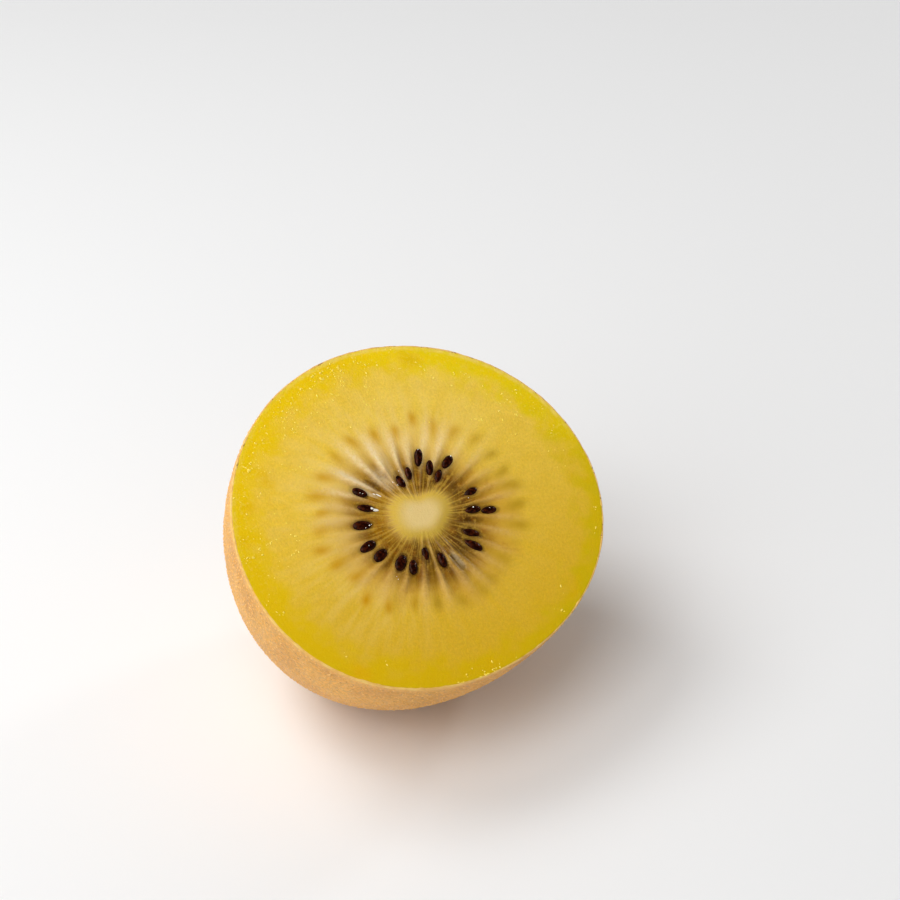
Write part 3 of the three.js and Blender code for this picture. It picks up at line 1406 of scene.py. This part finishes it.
@dataclass
class Seeds:
    """The seeds in the cut face, each half sunk in its chamber."""

    pattern: CutPattern
    thickness: float = 0.85
    bluntness: float = 2.1
    nod_deg: float = 8
    swing_deg: float = 9
    seed: int = 31

    def template(self) -> Object:
        """Models one seed of length, width and thickness 1, with blunt ends.

        Returns:
            The seed, lying along X.
        """
        piece = ball(24, 16, radius=0.5)
        piece.data.transform(Matrix.Rotation(math.pi / 2, 4, "Y"))
        points = read_points(piece)
        along = 2 * points[:, 0]
        across = np.hypot(points[:, 1], points[:, 2])
        girth = 0.5 * np.clip(1 - np.abs(along) ** self.bluntness, 0, 1) ** (1 / self.bluntness)
        points[:, 1:] *= (girth / np.maximum(across, 1e-6))[:, None]
        write_points(piece, points)
        bpy.ops.object.shade_smooth()
        return piece

    def build(self) -> list[Object]:
        """Copies the seed to each of its places, each one a little different.

        Returns:
            The seeds.
        """
        rng = np.random.default_rng(self.seed)
        template = self.template()
        seeds = []
        for number, place in enumerate(SEED_PLACES, 1):
            seed = new_object(f"seed_{number:02d}", template.data.copy())
            points = read_points(seed)
            points[:, 1:] *= 1 + rng.uniform(-0.15, 0.4) * points[:, :1]
            write_points(seed, points)
            size = Matrix.Diagonal((place.length, place.width, self.thickness, 1))
            nod = Matrix.Rotation(math.radians(rng.uniform(-self.nod_deg, self.nod_deg)), 4, "Y")
            swing = Matrix.Rotation(math.radians(rng.uniform(-self.swing_deg, self.swing_deg)), 4, "Z")
            here = Polar(*np.array([[place.distance], [math.radians(place.degrees)]]))
            height = float(self.pattern.relief(here)[0]) - place.sink
            out = Matrix.Translation((place.distance, 0, height))
            turn = Matrix.Rotation(math.radians(place.degrees), 4, "Z")
            seed.data.transform(turn @ out @ swing @ nod @ size)
            seeds.append(seed)
        bpy.data.objects.remove(template)
        return seeds


@dataclass
class JuiceGlintBeads:
    """Tiny beads of juice on the cut face, in short strings, most of them near the rim: pale painted
    sparkles.

    shares says how many strings lie at the upper left, at the upper right, anywhere and at the bottom. Places
    are shares of the rim's radius, and a string drifts inwards from rim_place.
    """

    form: FruitForm
    flesh: Object
    strings: int = 150
    shares: tuple[float, ...] = (0.66, 0.2, 0.09, 0.05)
    bottom_place: float = 0.985
    rim_place: float = 0.97
    drift: float = 0.17
    inmost_place: float = 0.5
    extra_beads: float = 2.0
    string_spread: float = 0.5
    stray: float = 0.3
    smallest: float = 0.045
    growth: float = 0.12
    most_stretch: float = 2.2
    height_share: float = 0.6
    seed: int = 41

    def build(self) -> Object:
        """Sets the beads on the flesh.

        Returns:
            The piece.
        """
        rng = np.random.default_rng(self.seed)
        placings = []
        for _ in range(self.strings):
            # Most strings lie at the upper left, so that the painted sparkles crowd there.
            around = [rng.normal(128, 28), rng.uniform(0, 110), rng.uniform(0, 360), rng.normal(265, 9)]
            angle = math.radians(rng.choice(around, p=self.shares))
            place = self.bottom_place
            if math.sin(angle) >= -0.9:
                place = max(self.rim_place - abs(rng.normal(0, self.drift)), self.inmost_place)
            reach = place * self.form.mean_radius * float(self.form.rim_share(angle))
            middle = Vector((reach * math.cos(angle), reach * math.sin(angle), 1.0))
            lie = rng.uniform(0, math.pi)
            along = Vector((math.cos(lie), math.sin(lie), 0))
            for _ in range(1 + rng.poisson(self.extra_beads)):
                above = middle + along * rng.normal(0, self.string_spread)
                above += Vector((*rng.normal(0, self.stray, 2), 0))
                _, foot, _, _ = self.flesh.closest_point_on_mesh(above)
                size = self.smallest + self.growth * rng.beta(1.0, 3.2)
                stretch = rng.uniform(1, self.most_stretch)
                flat = Matrix.Diagonal((size * stretch, size, self.height_share * size, 1))
                spin = Matrix.Rotation(lie + rng.normal(0, 0.4), 4, "Z")
                placings.append(Matrix.Translation(foot) @ spin @ flat)
        return scatter("juice_glint_beads", ball(8, 6), placings)


@dataclass
class GelGlintDrops:
    """The near-white drops among the seeds, painted glints, each on whatever lies highest there."""

    flesh: Object
    seeds: list[Object]

    def top(self, x: float, y: float) -> float:
        """Finds the highest surface at a place.

        Args:
            x: Where the place is, across.
            y: Where the place is, up the cut face.

        Returns:
            Its height.
        """
        above, down = Vector((x, y, 5.0)), Vector((0, 0, -1))
        hits = [piece.ray_cast(above, down) for piece in (self.flesh, *self.seeds)]
        return max(place.z for hit, place, _, _ in hits if hit)

    def build(self) -> Object:
        """Sets the drops.

        Returns:
            The piece.
        """
        bpy.context.view_layer.update()
        placings = []
        for drop in DROPS:
            angle = math.radians(drop.degrees)
            x, y = drop.distance * math.cos(angle), drop.distance * math.sin(angle)
            size = Matrix.Diagonal((drop.length / 2, drop.width / 2, drop.width / 4, 1))
            turn = Matrix.Rotation(angle, 4, "Z")
            placings.append(Matrix.Translation((x, y, self.top(x, y))) @ turn @ size)
        return scatter("gel_glint_drops", ball(12, 8), placings)


@dataclass
class BlossomScar:
    """The ragged stubs of the flower's dried styles, in the dimple at the blossom end."""

    form: FruitForm
    styles: int = 9
    ring: float = 0.75
    length: float = 1.3
    radius: float = 0.3
    sides: int = 10
    tip_share: float = 0.35
    lean: tuple[float, float] = (0.1, 0.7)
    raggedness: float = 0.03
    seed: int = 51

    def stub(self, rng: np.random.Generator, turn: float, ring: float) -> Object:
        """Models one stub.

        Args:
            rng: Where its unevenness comes from.
            turn: Its direction round the axis, in radians.
            ring: Its distance from the axis.

        Returns:
            The stub, in the fruit's own frame.
        """
        deselect()
        tip = self.tip_share * self.radius
        bpy.ops.mesh.primitive_cone_add(
            vertices=self.sides, radius1=self.radius, radius2=tip, depth=self.length
        )
        stub = bpy.context.object
        bpy.ops.object.mode_set(mode="EDIT")
        bpy.ops.mesh.select_all(action="SELECT")
        bpy.ops.mesh.subdivide(number_cuts=3)
        bpy.ops.object.mode_set(mode="OBJECT")
        points = read_points(stub)
        write_points(stub, points + rng.normal(0, self.raggedness, points.shape))
        lean = Matrix.Rotation(rng.uniform(*self.lean), 4, "Y")
        over = Matrix.Rotation(math.pi, 4, "X")
        out = Matrix.Translation((ring, 0, self.form.dimple_depth - self.form.half_length))
        stub.data.transform(Matrix.Rotation(turn, 4, "Z") @ out @ lean.inverted() @ over)
        return stub

    def build(self) -> Object:
        """Models the stubs and joins them.

        Returns:
            The piece.
        """
        rng = np.random.default_rng(self.seed)
        turns = [TURN * i / self.styles for i in range(self.styles)]
        stubs = [self.stub(rng, turn, self.ring * rng.uniform(0.3, 1.1)) for turn in turns]
        make_active(*stubs)
        bpy.ops.object.join()
        piece = bpy.context.object
        piece.name = "blossom_scar"
        bpy.ops.object.shade_smooth()
        return piece


# --- Studio ---


@dataclass(frozen=True)
class Camera:
    """The camera, which looks at the cut face from the front left. Distances are in metres."""

    azimuth_deg: float = -32.4
    elevation_deg: float = 37.2
    distance: float = 0.366
    lens: float = 100.0
    aim_height: float = 0.020
    aim_right: float = 0.0084
    aim_up: float = 0.01526

    def build(self) -> None:
        """Sets the camera up and makes it the scene's."""
        back = direction(self.azimuth_deg, self.elevation_deg)
        azimuth = math.radians(self.azimuth_deg)
        right = Vector((math.cos(azimuth), math.sin(azimuth), 0))
        up = back.cross(right)
        data = bpy.data.cameras.new("camera")
        data.lens = self.lens
        data.clip_start = 0.01
        camera = new_object("camera", data)
        aim = Vector((0, 0, self.aim_height)) + self.aim_right * right + self.aim_up * up
        turn = Matrix((right, up, back)).transposed().to_4x4()
        camera.matrix_world = Matrix.Translation(aim + self.distance * back) @ turn
        bpy.context.scene.camera = camera


@dataclass(frozen=True)
class AreaLight:
    """A square softbox, placed by its direction and distance from the fruit and aimed at it."""

    name: str
    azimuth_deg: float
    elevation_deg: float
    distance: float
    side: float
    watts: float

    def build(self) -> None:
        """Hangs the softbox."""
        away = direction(self.azimuth_deg, self.elevation_deg)
        data = bpy.data.lights.new(self.name, "AREA")
        data.shape = "SQUARE"
        data.size = self.side
        data.energy = self.watts
        light = new_object(self.name, data)
        light.location = away * self.distance
        light.rotation_euler = away.to_track_quat("Z", "Y").to_euler()


@dataclass(frozen=True)
class Studio:
    """A pale floor, pale surroundings and large soft lights.

    surround is the surroundings' strength. In the direction of dark_part, which the cut face would mirror,
    they are weaker by dark_share. dark_from and dark_full are cosines of the angle off that direction.
    """

    floor_side: float = 6.0
    floor_colour: Colour = srgb(242, 242, 242)
    floor_roughness: float = 0.6
    surround: float = 0.52
    dark_part: tuple[float, float, float] = (0.43, -0.22, 0.88)
    dark_from: float = 0.45
    dark_full: float = 0.9
    dark_share: float = 0.85
    camera: Camera = field(default_factory=Camera)
    lights: tuple[AreaLight, ...] = (
        AreaLight("window", azimuth_deg=-140, elevation_deg=56, distance=0.4, side=0.2, watts=0.6),
        AreaLight("glint", azimuth_deg=98, elevation_deg=30, distance=0.5, side=0.07, watts=0.25),
        AreaLight("side", azimuth_deg=-78, elevation_deg=38, distance=0.8, side=0.6, watts=1.6),
        AreaLight("overhead", azimuth_deg=-60, elevation_deg=62, distance=0.9, side=0.5, watts=2.5),
    )

    def floor(self) -> None:
        """Lays the floor."""
        deselect()
        bpy.ops.mesh.primitive_plane_add(size=self.floor_side)
        floor = bpy.context.object
        floor.name = "floor"
        paint = {"Base Color": self.floor_colour, "Roughness": self.floor_roughness}
        floor.data.materials.append(new_finish("studio_floor", lambda bench: paint))

    def surroundings(self) -> None:
        """Makes the surroundings pale all round, but for the part that the cut face would mirror."""
        world = bpy.data.worlds.new("studio")
        world.use_nodes = True
        bench = NodeBench(world.node_tree)
        ways = {0: bench.add("TexCoord", {}, "Generated"), 1: self.dark_part}
        facing = bench.add("VectorMath", ways, "Value", operation="DOT_PRODUCT")
        darkest = self.surround * (1 - self.dark_share)
        strength = facing.ramp(self.dark_from, self.dark_full, self.surround, darkest)
        bench.feed(world.node_tree.nodes["Background"], {"Color": (1, 1, 1, 1), "Strength": strength})
        bpy.context.scene.world = world

    def build(self) -> None:
        """Builds the floor, the surroundings, the lights and the camera."""
        self.floor()
        self.surroundings()
        bpy.context.scene.view_settings.view_transform = "Standard"
        for light in self.lights:
            light.build()
        self.camera.build()


def main() -> None:
    """Builds the half kiwi and its studio, piece by piece."""
    logging.basicConfig(level=logging.INFO, format="%(name)s: %(message)s")
    form = FruitForm()
    pattern = CutPattern()
    stance = Stance.of_frame(form, tilt_deg=31.0)
    groups = SharedGroups()

    Studio().build()

    flesh = Flesh(form, pattern).build()
    skin = Skin(form, pattern).build()
    dots = SkinDots(form, skin).build()
    beads = JuiceGlintBeads(form, flesh).build()
    seeds = Seeds(pattern).build()
    drops = GelGlintDrops(flesh, seeds).build()
    scar = BlossomScar(form).build()

    stance.set_down(flesh, floor=0.4)
    for piece in (skin, dots, beads, drops, scar, *seeds):
        stance.set_down(piece)

    for pieces, slot, finish in (
        ([flesh], Slot.FLESH, FleshFinish(stance, groups)),
        ([skin], Slot.SKIN, SkinFinish(stance, groups)),
        ([dots], Slot.SKIN, DotFinish(stance, groups)),
        ([beads], Slot.FLESH, JuiceGlintFinish(stance, groups)),
        # Near-white gel drops: a painted highlight.
        ([drops], Slot.FLESH, JuiceGlintFinish(stance, groups, "gel_painted_glint", srgb(250, 246, 232))),
        (seeds, Slot.SEED, SeedFinish(stance, groups)),
        ([scar], Slot.SCAR, ScarFinish(stance, groups)),
    ):
        material = finish.material()
        for piece in pieces:
            adopt(piece, material)


if __name__ == "__main__":
    main()
